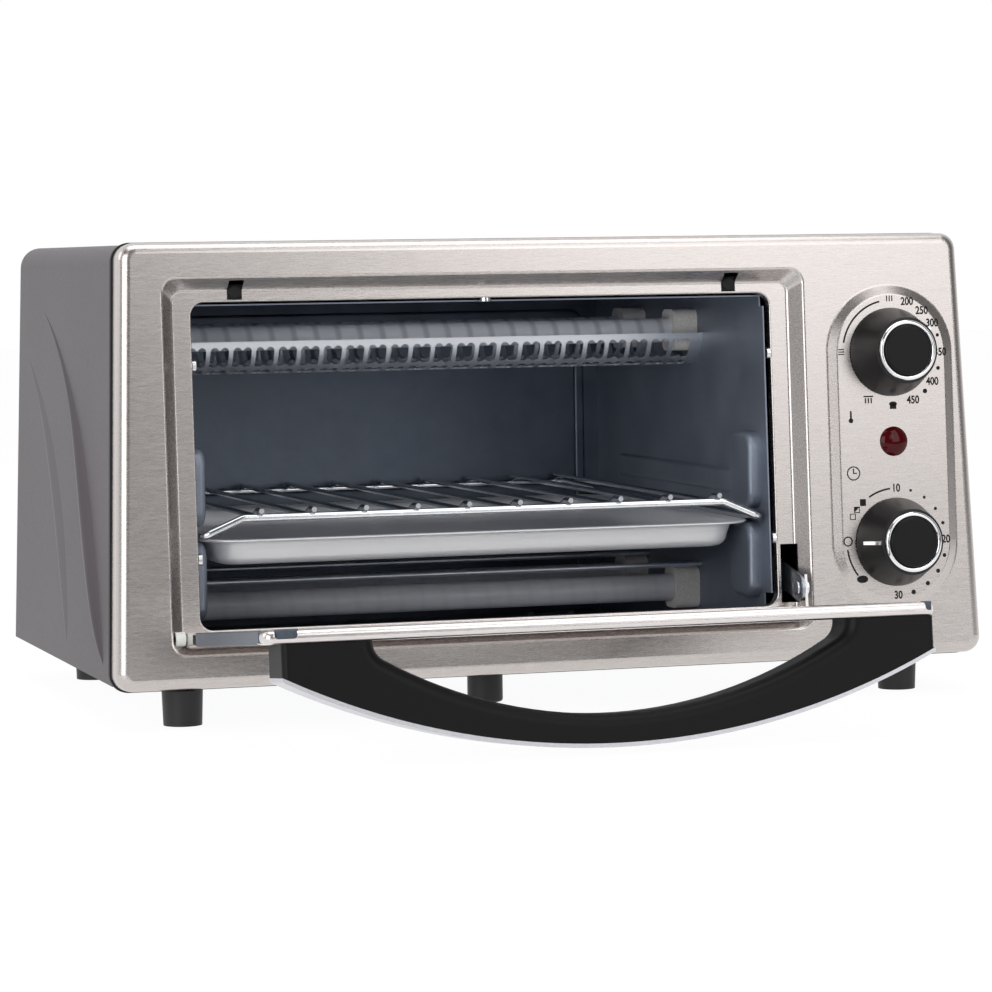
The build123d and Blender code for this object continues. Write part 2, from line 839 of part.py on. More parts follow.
def pan_form(inset, top):
    """The dished part of the pan, narrowing towards its bottom."""
    half = cavity_half - pan_side_gap - pan_lip - inset
    front = pan_front + pan_lip + inset
    back = pan_back - pan_lip - inset
    width = 2 * half
    depth = back - front
    place = Pos(cavity_centre, (front + back) / 2, top)
    mouth = RectangleRounded(width, depth, pan_corner_radius)
    floor = Pos(0, 0, -(pan_depth - inset)) * RectangleRounded(
        width - 2 * pan_draft, depth - 2 * pan_draft, pan_corner_radius)
    return place * loft([floor, mouth], ruled=True)


def baking_pan():
    low = guide_shelf + pan_lip_clearance
    top = low + pan_sheet
    half = cavity_half - pan_side_gap
    depth = pan_back - pan_front
    lip = RectangleRounded(2 * half, depth, pan_corner_radius)
    pan = Pos(cavity_centre, (pan_front + pan_back) / 2, low) * extrude(lip, amount=pan_sheet)
    pan += pan_form(0, top)
    return pan - pan_form(pan_sheet, top)


# Crumb tray
def crumb_tray():
    middle = (case_base + base_top) / 2
    left = door_centre - tray_half_width
    right = door_centre + tray_half_width
    sheet = block(left, right, tray_front, tray_back, case_base, base_top)
    for x in tray_hinge_places():
        reach = tray_knuckle_length / 2
        sheet += block(x - reach, x + reach, tray_back - 1, tray_hinge_y, case_base, base_top)
        sheet += rod_x(x - reach, x + reach, tray_hinge_y, middle, tray_knuckle_radius)
        sheet -= rod_x(x - reach, x + reach, tray_hinge_y, middle, tray_pin_radius + hinge_fit)
    return sheet


def crumb_tray_pins():
    reach = tray_knuckle_length / 2 + tray_ear_gap + tray_ear
    middle = (case_base + base_top) / 2
    return group([rod_x(x - reach, x + reach, tray_hinge_y, middle, tray_pin_radius)
                  for x in tray_hinge_places()])


def crumb_tray_knob():
    knob = rod_z(door_centre, tray_knob_y, tray_knob_lift, case_base, tray_knob_radius)
    return fillet(knob.faces().sort_by(Axis.Z)[0].edges(), tray_knob_edge_radius)


# Controls
def knob_pointer(turn):
    """A bar let into the knob's sloping side."""
    run = (knob_base_radius - knob_top_radius) / knob_height
    low = pointer_low
    high = knob_height - pointer_margin
    outer = knob_base_radius - run * low
    inner = knob_base_radius - run * high
    profile = [(outer - pointer_sink, low), (outer + pointer_rise, low),
               (inner + pointer_rise, high), (inner - pointer_sink, high)]
    bar = extrude(Plane.XZ * make_face(Polyline(profile, close=True)), amount=pointer_width / 2, both=True)
    return Rot(0, 0, turn) * bar


def knob_body(turn):
    body = Pos(0, 0, knob_height / 2) * Cone(knob_base_radius, knob_top_radius, knob_height)
    body = fillet(body.faces().sort_by(Axis.Z)[-1].edges(), knob_edge_radius)
    body -= rod_z(0, 0, 0, shaft_knob_depth, shaft_radius + shaft_fit)
    return body - knob_pointer(turn)


def knob_ring():
    return rod_z(0, 0, knob_height, knob_height + ring_height, ring_radius) - rod_z(
        0, 0, knob_height, knob_height + ring_height, cap_radius)


def knob_cap():
    cap = rod_z(0, 0, knob_height, knob_height + cap_height, cap_radius)
    return fillet(cap.faces().sort_by(Axis.Z)[-1].edges(), cap_edge_radius)


def knob_shaft():
    back = emboss_top + bracket_back + shaft_body_depth
    return rod_z(0, 0, -back, shaft_knob_depth, shaft_radius)


def at_knob(w):
    return panel_face * Pos(control_x, w, emboss_top)


def control_bracket():
    front = -(panel_sheet + bracket_stand)
    x0 = control_x - bracket_width / 2
    x1 = control_x + bracket_width / 2
    middle = (temperature_w + timer_w) / 2
    low = timer_w - emboss_radius - bracket_margin
    high = temperature_w + emboss_radius + bracket_margin
    plate = block(x0, x1, low, high, front - bracket_sheet, front)
    for w in (middle - bracket_leg_spread, middle + bracket_leg_spread):
        for x in (x0, x1 - bracket_sheet):
            plate += block(x, x + bracket_sheet, w - bracket_leg_height / 2, w + bracket_leg_height / 2,
                           front, -panel_sheet)
    for w in (temperature_w, timer_w):
        plate -= rod_z(control_x, w, 2 * front, 0, neck_radius + neck_gap)
    plate -= rod_z(control_x, lamp_w, 2 * front, 0, lens_stem_radius + neck_gap)
    return panel_face * plate


def control_neck(w):
    neck = rod_z(control_x, w, -bracket_back, -bracket_back + neck_reach, neck_radius)
    bore = rod_z(control_x, w, -bracket_back - shaft_body_depth - 1, 0, shaft_radius + shaft_fit)
    return neck, bore


def thermostat_body():
    half = thermostat_size / 2
    neck, bore = control_neck(temperature_w)
    body = block(control_x - half, control_x + half, temperature_w - half, temperature_w + half,
                 -bracket_back - thermostat_depth, -bracket_back)
    return panel_face * (body + neck - bore)


def timer_body():
    neck, bore = control_neck(timer_w)
    body = rod_z(control_x, timer_w, -bracket_back - timer_depth, -bracket_back, timer_radius)
    return panel_face * (body + neck - bore)


def timer_bell():
    front = -bracket_back - timer_depth
    back = front - bell_depth
    bell = rod_z(control_x, timer_w, back, front - bell_sheet, bell_radius)
    bell -= rod_z(control_x, timer_w, back + bell_sheet, front, bell_radius - bell_sheet)
    return panel_face * (bell + rod_z(control_x, timer_w, back, front, bell_post_radius))


def pilot_lens():
    head = rod_z(control_x, lamp_w, emboss_height, emboss_height + lens_head, lens_radius)
    head = fillet(head.faces().sort_by(Axis.Z)[-1].edges(), lens_round)
    stem = rod_z(control_x, lamp_w, emboss_height - lens_stem, emboss_height, lens_stem_radius)
    back = emboss_height - lens_stem
    seat = rod_z(control_x, lamp_w, back, back + lamp_seat, lamp_radius)
    return panel_face * (head + stem - seat)


def pilot_lamp():
    top = emboss_height - lens_stem + lamp_seat
    return panel_face * rod_z(control_x, lamp_w, top - lamp_length, top, lamp_radius)


def terminal_block():
    return block(control_x - terminal_length / 2, control_x + terminal_length / 2,
                 terminal_y, terminal_y + terminal_width, base_top, base_top + terminal_height)


# Door: made flat with the hinge on the X axis, reaching towards -Y, inner face up
def door_glass():
    half = door_half_width - glass_side_gap
    low = door_middle - glass_thickness / 2
    start = rail_depth - glass_seat
    end = door_reach - trim_depth + glass_seat
    return door_face * block(-half, half, -end, -start, low, low + glass_thickness)


def glass_slot(start, end):
    room = glass_thickness / 2 + glass_fit
    width = 2 * door_half_width
    return block(-width, width, -end, -start, door_middle - room, door_middle + room)


def door_top_trim():
    start = door_reach - trim_depth
    trim = block(door_left, door_right, -door_reach, -start, -door_outer, door_inner)
    trim = fillet(trim.edges().filter_by(Axis.Z).sort_by(Axis.Y)[:2], trim_corner_radius)
    trim = fillet(trim.faces().sort_by(Axis.Y)[0].edges().filter_by(Axis.X), trim_edge_radius)
    hollow_end = door_reach - trim_sheet
    hollow = block(door_left + trim_corner_radius, door_right - trim_corner_radius,
                   -hollow_end, -trim_hollow_start(), -door_outer + trim_sheet, door_inner - trim_sheet)
    trim -= fillet(hollow.edges().filter_by(Axis.X).sort_by(Axis.Y)[:2], trim_inner_radius)
    trim -= glass_slot(start, start + glass_seat + glass_fit)
    left_notch = [door_left + reach for reach in trim_left_notch]
    right_notch = [door_right - reach for reach in reversed(trim_right_notch)]
    for x0, x1 in (left_notch, right_notch):
        low = door_inner - trim_notch_drop
        notch = block(x0, x1, -2 * door_reach, -door_reach + trim_notch_depth, low, door_reach)
        lower = notch.edges().filter_by(Axis.Y).sort_by(Axis.Z)[:2]
        trim -= fillet(lower, trim_notch_radius)
    for x in handle_screw_places():
        trim -= handle_screw_rod(x, handle_screw_radius + screw_fit)
    return door_face * trim


def rail_ends():
    return door_left + rail_end_gap, door_right - rail_end_gap


def link_tab_right():
    return rail_ends()[1]


def link_tab_outline():
    return block(link_tab_right() - link_tab_sheet, link_tab_right(), -link_tab_far, -link_tab_near,
                 door_inner, link_tab_rise)


def door_bottom_rail():
    left, right = rail_ends()
    rail = block(left, right, -rail_depth, door_heel, -door_outer, door_inner)
    rail = fillet(rail.edges().filter_by(Axis.X).sort_by(Axis.Y)[-2:], rail_edge_radius)
    rail -= glass_slot(rail_depth - glass_seat - glass_fit, rail_depth)
    for x0, x1 in ((left, left + hinge_pin_seat), (right - hinge_pin_seat, right)):
        rail -= rod_x(x0, x1, 0, 0, hinge_pin_radius)
    tab = link_tab_outline()
    tab -= rod_x(0, 2 * right, -link_rivet_s, link_rivet_n, link_rivet_radius)
    return door_face * (rail + tab)


def door_hinge_pins():
    left, right = rail_ends()
    reach = bush_gap + bush_length
    pins = [rod_x(left - reach, left + hinge_pin_seat, 0, 0, hinge_pin_radius),
            rod_x(right - hinge_pin_seat, right + reach, 0, 0, hinge_pin_radius)]
    return group([door_face * pin for pin in pins])


def hinge_bush(side):
    bush = bush_place(side, bush_radius, bush_length)
    bush -= bush_place(side, hinge_pin_radius + hinge_fit, bush_length)
    return panel_face * bush


def link_rivet():
    right = link_tab_right()
    inner = right - link_tab_sheet - link_gap - link_sheet - link_gap
    rivet = rod_x(inner, right, 0, 0, link_rivet_radius)
    rivet += rod_x(inner - link_rivet_head, inner, 0, 0, link_rivet_head_radius)
    rivet += rod_x(right, right + link_rivet_head, 0, 0, link_rivet_head_radius)
    return door_face * Pos(0, -link_rivet_s, link_rivet_n) * rivet


def hinge_link():
    x1 = link_tab_right() - link_tab_sheet - link_gap
    outline = Pos(link_length / 2, 0) * SlotOverall(link_length + link_height, link_height)
    outline -= Circle(link_rivet_radius + hinge_fit)
    plate = extrude(Plane.YZ * outline, amount=link_sheet)
    place = door_face * Pos(0, -link_rivet_s, link_rivet_n)
    pivot = place.position
    return Pos(x1 - link_sheet + door_centre, pivot.Y, pivot.Z) * Rot(link_tilt, 0, 0) * plate


# Handle
def handle_profile():
    """The bow seen from above the door's top edge: X along the door, Y away from its outer face."""
    half = handle_half_width
    leg = half - handle_leg_width
    bow = handle_bow
    inner = bow - handle_grip
    outline = Polyline((-leg, 0), (-half, 0), (-half, -handle_leg_height))
    outline += ThreePointArc((-half, -handle_leg_height), (0, -bow), (half, -handle_leg_height))
    outline += Polyline((half, -handle_leg_height), (half, 0), (leg, 0), (leg, -handle_drop))
    outline += ThreePointArc((leg, -handle_drop), (0, -inner), (-leg, -handle_drop))
    outline += Polyline((-leg, -handle_drop), (-leg, 0))
    face = make_face(outline)
    corners = [v for v in face.vertices() if abs(v.Y + handle_drop) < 0.01]
    return fillet(corners, handle_corner_radius)


def strip_profile():
    half = handle_half_width
    near = -handle_leg_height
    far = near - strip_thickness
    outline = ThreePointArc((-half, near), (0, -handle_bow), (half, near))
    outline += Polyline((half, near), (half, far))
    outline += ThreePointArc((half, far), (0, -handle_bow - strip_thickness), (-half, far))
    outline += Polyline((-half, far), (-half, near))
    return make_face(outline)


def handle_place():
    """The handle's front face, just behind the trim's front, with the profile square to the door."""
    corner = (handle_shift, handle_setback - door_reach, -door_outer)
    return Plane(origin=corner, x_dir=(1, 0, 0), z_dir=(0, -1, 0))


def handle_screw_places():
    middle = handle_half_width - handle_leg_width / 2
    steps = (-handle_screw_spread, handle_screw_spread)
    return [handle_shift + side * (middle + step) for side in (-1, 1) for step in steps]


def trim_hollow_start():
    return door_reach - trim_depth + glass_seat + trim_web


def handle_screw_reach():
    """How far along the door the handle's screws are: just inside the trim's hollow."""
    return trim_hollow_start() + handle_screw_head_radius + handle_screw_margin


def handle_screw_rod(x, radius):
    low = -door_outer - handle_screw_depth
    return rod_z(x, -handle_screw_reach(), low, -door_outer + trim_sheet, radius)


def door_handle():
    bow = extrude(handle_profile(), amount=-handle_depth)
    leg = handle_half_width - handle_leg_width
    grip = [edge for edge in bow.edges()
            if abs(edge.center().X) < leg + 0.01 and -handle_bow + 1 < edge.center().Y < -0.01
            and edge.bounding_box().size.Z < 0.01]
    bow = fillet(grip, handle_grip_radius)
    ends = [edge for edge in bow.edges()
            if abs(abs(edge.center().X) - handle_half_width) < 0.01 and abs(edge.center().Z) < 0.01]
    bow = handle_place() * fillet(ends, handle_end_radius)
    for x in handle_screw_places():
        bow -= handle_screw_rod(x, handle_screw_radius + screw_fit)
    return door_face * bow


def handle_strip():
    return door_face * handle_place() * extrude(strip_profile(), amount=-handle_depth)


def handle_screws():
    floor = -door_outer + trim_sheet
    screws = []
    for x in handle_screw_places():
        head = rod_z(x, -handle_screw_reach(), floor, floor + handle_screw_head, handle_screw_head_radius)
        screws.append(door_face * (handle_screw_rod(x, handle_screw_radius) + head))
    return group(screws)


# Bumpers
def door_bumper(side):
    x = door_centre + side * bumper_spread
    half = bumper_slot_width / 2 - bumper_fit
    back = recess_depth + panel_sheet + bumper_plate
    low = bumper_slot_low + bumper_fit
    pad = block(x - half, x + half, low, bumper_button_w + half, -back, -recess_depth)
    top = -recess_depth + bumper_button_rise
    button = rod_z(x, bumper_button_w, -recess_depth, top, bumper_button_radius)
    pad += fillet(button.faces().sort_by(Axis.Z)[-1].edges(), bumper_button_round)
    lug_front = -recess_depth - panel_sheet
    lug = block(x - 2 * half, x + 2 * half, bumper_slot_low, bumper_button_w, -back, lug_front)
    return panel_face * (pad + lug)


nodes = {
    "front_panel": front_panel(),
    "panel_screws": panel_screws(),
    "front_frame": front_frame(),
    "outer_wrap": outer_wrap(),
    "back_panel": back_panel(),
    "back_screws": back_screws(),
    "cord_grommet": cord_grommet(),
    "bottom_plate": bottom_plate(),
    "foot_screws": foot_screws(),
    "cavity_left_wall": side_wall(-1),
    "cavity_right_wall": side_wall(1),
    "cavity_ceiling": cavity_ceiling(),
    "cavity_back_wall": cavity_back_wall(),
    "upper_quartz_tubes": quartz_tubes(upper_heater_z, upper_tube_radius),
    "lower_quartz_tubes": quartz_tubes(lower_heater_z, lower_tube_radius),
    "heating_coils": heating_coils(),
    "upper_end_blocks": end_blocks(upper_heater_z, upper_tube_radius),
    "lower_end_blocks": end_blocks(lower_heater_z, lower_tube_radius),
    "upper_guards": group([upper_guard(y) for y in (heater_front_y, heater_back_y)]),
    "lower_guard_rods": lower_guard_rods(),
    "rack_frame": rack_frame(),
    "rack_wires": rack_wires(),
    "baking_pan": baking_pan(),
    "crumb_tray": crumb_tray(),
    "crumb_tray_pins": crumb_tray_pins(),
    "crumb_tray_knob": crumb_tray_knob(),
    "control_bracket": control_bracket(),
    "thermostat_body": thermostat_body(),
    "timer_body": timer_body(),
    "timer_bell": timer_bell(),
    "pilot_lens": pilot_lens(),
    "pilot_lamp": pilot_lamp(),
    "terminal_block": terminal_block(),
    "door_glass": door_glass(),
    "door_top_trim": door_top_trim(),
    "door_bottom_rail": door_bottom_rail(),
    "door_hinge_pins": door_hinge_pins(),
    "left_hinge_bush": hinge_bush(-1),
    "right_hinge_bush": hinge_bush(1),
    "hinge_link": hinge_link(),
    "link_rivet": link_rivet(),
    "door_handle": door_handle(),
    "handle_strip": handle_strip(),
    "handle_screws": handle_screws(),
    "door_bumpers": group([door_bumper(side) for side in (-1, 1)]),
}
for name, (x, y) in foot_places().items():
    nodes[name] = foot(x, y)
knobs = [("temperature", temperature_w, temperature_pointer_turn), ("timer", timer_w, timer_pointer_turn)]
for control, w, turn in knobs:
    nodes[f"{control}_knob"] = at_knob(w) * knob_body(turn)
    nodes[f"{control}_ring"] = at_knob(w) * knob_ring()
    nodes[f"{control}_cap"] = at_knob(w) * knob_cap()
    nodes[f"{control}_pointer"] = at_knob(w) * knob_pointer(turn)
nodes["thermostat_shaft"] = at_knob(temperature_w) * knob_shaft()
nodes["timer_shaft"] = at_knob(timer_w) * knob_shaft()

# The origin is under the middle of the whole part, with its door open
whole = Compound([solid for shape in nodes.values() for solid in shape.solids()]).bounding_box()
middle_y = (whole.min.Y + whole.max.Y) / 2
for name, shape in nodes.items():
    export_step(Pos(0, -middle_y, 0) * shape, f"parts/{name}.step")
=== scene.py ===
import json
from math import cos, pi, radians, sin

import bmesh
import bpy
from mathutils import Matrix, Vector


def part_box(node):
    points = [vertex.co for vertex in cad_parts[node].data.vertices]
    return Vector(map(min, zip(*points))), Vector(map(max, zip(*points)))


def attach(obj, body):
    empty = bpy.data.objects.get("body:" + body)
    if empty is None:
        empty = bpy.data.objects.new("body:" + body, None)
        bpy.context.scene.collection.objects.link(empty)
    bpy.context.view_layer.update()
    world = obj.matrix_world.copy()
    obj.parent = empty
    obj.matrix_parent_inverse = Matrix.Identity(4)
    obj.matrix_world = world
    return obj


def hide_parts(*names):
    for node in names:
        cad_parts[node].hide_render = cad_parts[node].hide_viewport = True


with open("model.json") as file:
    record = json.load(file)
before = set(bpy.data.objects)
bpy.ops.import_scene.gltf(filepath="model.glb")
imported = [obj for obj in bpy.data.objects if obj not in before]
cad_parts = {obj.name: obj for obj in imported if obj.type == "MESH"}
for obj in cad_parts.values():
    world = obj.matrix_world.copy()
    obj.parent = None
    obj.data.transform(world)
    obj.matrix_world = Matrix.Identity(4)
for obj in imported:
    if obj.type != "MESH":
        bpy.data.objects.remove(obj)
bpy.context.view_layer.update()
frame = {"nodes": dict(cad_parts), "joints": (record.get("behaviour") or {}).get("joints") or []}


# Case
# The outer wrap is one steel sheet folded over both sides and the top and rolled in at the back.
# It has a satin dark grey paint with a faint orange peel, and the back panel is painted the same.
MM = 0.001


class Shade:
    """One output of a finish's nodes. Arithmetic on it adds Math nodes to that finish."""

    def __init__(self, finish, socket):
        self.finish = finish
        self.socket = socket

    def maths(self, operation, first, second=0.0):
        return self.finish.node("ShaderNodeMath", {"operation": operation}, {0: first, 1: second})

    def __add__(self, other):
        return self.maths("ADD", self, other)

    __radd__ = __add__

    def __mul__(self, other):
        return self.maths("MULTIPLY", self, other)

    __rmul__ = __mul__

    def wave(self):
        return self.maths("SINE", self)


class Finish:
    """A procedural material: one Principled shader, with what varies fed from nodes."""

    def __init__(self, name, **constants):
        self.material = bpy.data.materials.new(name)
        self.material.use_nodes = True
        self.tree = self.material.node_tree
        self.shader = self.tree.nodes["Principled BSDF"]
        for socket, value in constants.items():
            self.shader.inputs[socket.replace("_", " ")].default_value = value

    def node(self, kind, settings, inputs, output=0):
        made = self.tree.nodes.new(kind)
        for key, value in settings.items():
            setattr(made, key, value)
        for key, value in inputs.items():
            if isinstance(value, Shade):
                self.tree.links.new(value.socket, made.inputs[key])
            else:
                made.inputs[key].default_value = value
        return Shade(self, made.outputs[output])

    def place(self, scale):
        """Object coordinates, stretched along the three axes."""
        point = self.node("ShaderNodeTexCoord", {}, {}, "Object")
        return self.node("ShaderNodeMapping", {}, {"Vector": point, "Scale": scale})

    def along(self, axis):
        """One Object coordinate, in metres."""
        point = self.node("ShaderNodeTexCoord", {}, {}, "Object")
        return self.node("ShaderNodeSeparateXYZ", {}, {0: point}, axis)

    def noise(self, scale, detail):
        """Noise from 0 to 1, with this many features per metre along each axis."""
        inputs = {"Vector": self.place(scale), "Scale": 1.0, "Detail": detail}
        return self.node("ShaderNodeTexNoise", {}, inputs)

    def spread(self, value, low, high):
        """A value stretched so that low and high become 0 and 1."""
        inputs = {"Value": value, "From Min": low, "From Max": high}
        return self.node("ShaderNodeMapRange", {"clamp": True}, inputs)

    def mix(self, mask, first, second):
        return self.node("ShaderNodeMix", {"data_type": "RGBA"}, {0: mask, 6: first, 7: second}, 2)

    def feed(self, **sockets):
        for socket, shade in sockets.items():
            self.tree.links.new(shade.socket, self.shader.inputs[socket.replace("_", " ")])
        return self

    def bump(self, height, strength, depth):
        inputs = {"Height": height, "Strength": strength, "Distance": depth}
        return self.feed(Normal=self.node("ShaderNodeBump", {}, inputs))


def dress(finish, *names):
    """Gives CAD nodes a finish."""
    for name in names:
        materials = frame["nodes"][name].data.materials
        materials.clear()
        materials.append(finish.material)


def tone(red, green, blue):
    """A colour written as 8-bit screen values, as the linear colour that Blender uses."""
    channels = []
    for value in (red, green, blue):
        share = value / 255
        channels.append(share / 12.92 if share <= 0.04045 else ((share + 0.055) / 1.055) ** 2.4)
    return (*channels, 1.0)


paint = Finish("case_paint", Metallic=0.0, Specular_IOR_Level=0.2)
peel = paint.noise((700, 700, 700), detail=2.0)
cloud = paint.spread(paint.noise((9, 9, 9), detail=3.0), 0.3, 0.7)
paint.feed(Base_Color=paint.mix(cloud, tone(72, 66, 71), tone(79, 73, 78)))
paint.feed(Roughness=0.36 + 0.1 * peel)
paint.bump(peel, strength=0.12, depth=0.2 * MM)
dress(paint, "outer_wrap", "back_panel")


# Swept creases
# Two curved folds are pressed into each side of the wrap, a long one and a shorter one behind it.
# The long one is steep towards the front, the short one towards the back, and both fade at their ends.
joints = {joint["name"]: joint for joint in frame["joints"]}
knob_inward = Vector(joints["temperature_turn"]["axis"])
panel_up = Vector((1, 0, 0)).cross(knob_inward)
knob_rise = 128.8 * MM
panel_foot = Vector(joints["temperature_turn"]["pos_m"]) - knob_rise * panel_up
side_half_width = 187.0
side_foot = 17.5
side_lean = 6.5 / 179.3
end_share = 0.02
swell_fullness = 0.8
long_fold = ((-1, -0.1), (2, 0.9), (5, 2.5), (7.5, 3.3), (10, 3.2), (28, -0.1))
short_fold = ((-16, -0.1), (-7, 0.5), (-1, 0.9), (1.5, 0.85), (5, 0.35), (7.5, -0.1))
long_crease = ((176, 166), (155, 159.1), (123.8, 142.4), (104, 128), (90.7, 116.9), (76, 99),
               (64.4, 82.4), (53, 63), (43.8, 45.7), (38, 33), (35, 25))
short_crease = ((209, 144), (196.9, 136.2), (181, 125), (168.4, 113.8), (155, 99), (144.8, 84.4),
                (136, 71), (128.8, 56.9), (118.1, 36.3), (114, 27))


def new_piece(name, mesh, body, finish, replaced=()):
    """A finished piece at the origin that rides on a CAD body."""
    data = bpy.data.meshes.new(name)
    mesh.to_mesh(data)
    mesh.free()
    piece = bpy.data.objects.new(name, data)
    bpy.context.scene.collection.objects.link(piece)
    data.materials.append(finish.material)
    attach(piece, body)
    if replaced:
        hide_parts(*replaced)
    return piece


def smooth(piece):
    for face in piece.data.polygons:
        face.use_smooth = True


def grown(mesh, edges):
    """Extrudes a row of edges and gives back its new edges and points."""
    made = bmesh.ops.extrude_edge_only(mesh, edges=edges)["geom"]
    points = [item for item in made if isinstance(item, bmesh.types.BMVert)]
    row = [item for item in made if isinstance(item, bmesh.types.BMEdge)
           and all(point in points for point in item.verts)]
    return row, points


def crease(name, side, points, fold, low_swell):
    """A fold along points (back, up) in mm on one side of the case; its section is (back, out) in mm.

    It is widest half way down, or further down with more low swell.
    """
    mesh = bmesh.new()
    last = len(points) - 1

    def on_side(index, shift, out):
        y, z = points[index]
        run = (index + end_share) / (last + 2 * end_share)
        swell = sin(pi * run ** low_swell) ** swell_fullness
        x = side_half_width - (z - side_foot) * side_lean + (out * swell if out > 0 else out)
        return Vector((side * x * MM, panel_foot.y + (y + shift * swell) * MM, z * MM))

    row = [mesh.verts.new(on_side(index, *fold[0])) for index in range(last + 1)]
    edges = [mesh.edges.new(pair) for pair in zip(row, row[1:])]
    for shift, out in fold[1:]:
        edges, fresh = grown(mesh, edges)
        fresh.sort(key=lambda point: -point.co.z)
        for index, point in enumerate(fresh):
            point.co = on_side(index, shift, out)
    bmesh.ops.recalc_face_normals(mesh, faces=mesh.faces)
    piece = new_piece(name, mesh, "oven", paint)
    smooth(piece)
    finer = piece.modifiers.new("rounding", "SUBSURF")
    finer.levels = 2
    finer.render_levels = 2


for side_name, side in (("left", -1), ("right", 1)):
    crease(f"long_crease_{side_name}", side, long_crease, long_fold, low_swell=1.7)
    crease(f"short_crease_{side_name}", side, short_crease, short_fold, low_swell=1.2)


# Base
# The bottom plate is galvanised sheet with a faint spangle. The feet and the crumb tray's pull are
# moulded black plastic, screwed up from below.
galvanised = Finish("galvanised_sheet", Metallic=1.0)
spangle_inputs = {"Vector": galvanised.place((140, 140, 140)), "Scale": 1.0}
spangle = galvanised.node("ShaderNodeTexVoronoi", {}, spangle_inputs)
galvanised.feed(Base_Color=galvanised.mix(spangle, tone(150, 153, 156), tone(176, 179, 182)))
galvanised.feed(Roughness=0.36 + 0.14 * spangle)
dress(galvanised, "bottom_plate", "control_bracket", "timer_bell", "crumb_tray_pins")

foot_plastic = Finish("foot_plastic", Specular_IOR_Level=0.45)
foot_grain = foot_plastic.noise((1500, 1500, 1500), detail=3.0)
foot_plastic.feed(Base_Color=foot_plastic.mix(foot_grain, tone(24, 23, 25), tone(38, 37, 39)))
foot_plastic.feed(Roughness=0.42 + 0.16 * foot_grain)
foot_plastic.bump(foot_grain, strength=0.15, depth=0.2 * MM)
foot_names = ("front_left_foot", "front_right_foot", "back_left_foot", "back_right_foot")
dress(foot_plastic, *foot_names, "crumb_tray_knob", "cord_grommet")


# Oven cavity
# Walls, ceiling and back are aluminised steel, blue grey, with a cloudy mill finish and fine scratches.
# The side walls carry pressed bumps that hold the rack and the pan.
def aluminised(name, metal, dull, bright):
    """Aluminised sheet; metal is how far it shines as bare metal, the rest is its dull coating."""
    steel = Finish(name, Metallic=metal)
    mill = steel.spread(steel.noise((30, 30, 30), detail=4.0), 0.3, 0.7)
    scratch = steel.noise((900, 60, 900), detail=2.0)
    steel.feed(Base_Color=steel.mix(mill, dull, bright))
    steel.feed(Roughness=0.34 + 0.14 * mill + 0.08 * scratch)
    return steel.bump(scratch, strength=0.08, depth=0.2 * MM)


wall_steel = aluminised("wall_steel", 0.6, tone(122, 130, 144), tone(146, 154, 168))
dress(wall_steel, "cavity_left_wall", "cavity_right_wall", "cavity_ceiling", "crumb_tray")
back_wall_steel = aluminised("back_wall_steel", 0.95, tone(98, 106, 118), tone(122, 130, 142))
dress(back_wall_steel, "cavity_back_wall")


# Heaters
# Frosted quartz tubes with faint slanting grey rings, held in ceramic end blocks.
# A perforated bright steel trough hangs under the upper tubes, and plain rods run over the lower ones.
ring_pitch = 640
ring_slant = 90
ring_grey = tone(120, 124, 130)


def frosted(name, pale, shade, ring_strength):
    """Frosted quartz, with faint slanting grey rings of the given strength."""
    quartz = Finish(name, Specular_IOR_Level=0.6)
    ring_phase = quartz.along("X") * ring_pitch + quartz.along("Z") * ring_slant
    turns = quartz.spread(ring_phase.wave(), 0.4, 1.0)
    haze = quartz.noise((120, 400, 400), detail=3.0)
    frost = quartz.mix(haze, shade, pale)
    quartz.feed(Base_Color=quartz.mix(ring_strength * turns, frost, ring_grey))
    return quartz.feed(Roughness=0.3 + 0.14 * haze)


upper_quartz = frosted("upper_quartz", tone(242, 244, 249), tone(224, 227, 233), ring_strength=0.4)
# The lower tubes are the same quartz painted darker, as painted shade under the pan, and their rings are
# fainter.
lower_quartz = frosted("lower_quartz", tone(224, 224, 228), tone(204, 204, 209), ring_strength=0.08)
dress(upper_quartz, "upper_quartz_tubes")
dress(lower_quartz, "lower_quartz_tubes")

ceramic = Finish("end_ceramic", Specular_IOR_Level=0.4)
speck = ceramic.spread(ceramic.noise((900, 900, 900), detail=4.0), 0.35, 0.7)
ceramic.feed(Base_Color=ceramic.mix(speck, tone(222, 218, 213), tone(238, 235, 230)))
ceramic.feed(Roughness=0.6 + 0.2 * speck)
ceramic.bump(speck, strength=0.2, depth=0.3 * MM)
dress(ceramic, "upper_end_blocks", "lower_end_blocks", "terminal_block")

element = Finish("element_wire", Metallic=0.8, Roughness=0.6)
scale_mark = element.noise((500, 500, 500), detail=3.0)
element.feed(Base_Color=element.mix(scale_mark, tone(58, 54, 50), tone(84, 78, 72)))
dress(element, "heating_coils")

guard_steel = Finish("guard_steel", Metallic=1.0)
rolled = guard_steel.noise((40, 900, 900), detail=3.0)
guard_steel.feed(Base_Color=guard_steel.mix(rolled, tone(214, 217, 224), tone(234, 237, 242)))
guard_steel.feed(Roughness=0.3 + 0.14 * rolled)
guard_steel.bump(rolled, strength=0.1, depth=0.2 * MM)
dress(guard_steel, "upper_guards", "lower_guard_rods")


# Front frame and panel
# A black frame stands between the case and the front panel. The panel is stainless sheet, drawn with a
# recess for the door and an embossed field for the controls, and brushed from side to side.
frame_plastic = Finish("frame_plastic", Specular_IOR_Level=0.4)
frame_grain = frame_plastic.noise((1200, 1200, 1200), detail=2.0)
frame_plastic.feed(Base_Color=frame_plastic.mix(frame_grain, tone(16, 16, 18), tone(26, 26, 28)))
frame_plastic.feed(Roughness=0.5 + 0.1 * frame_grain)
dress(frame_plastic, "front_frame")


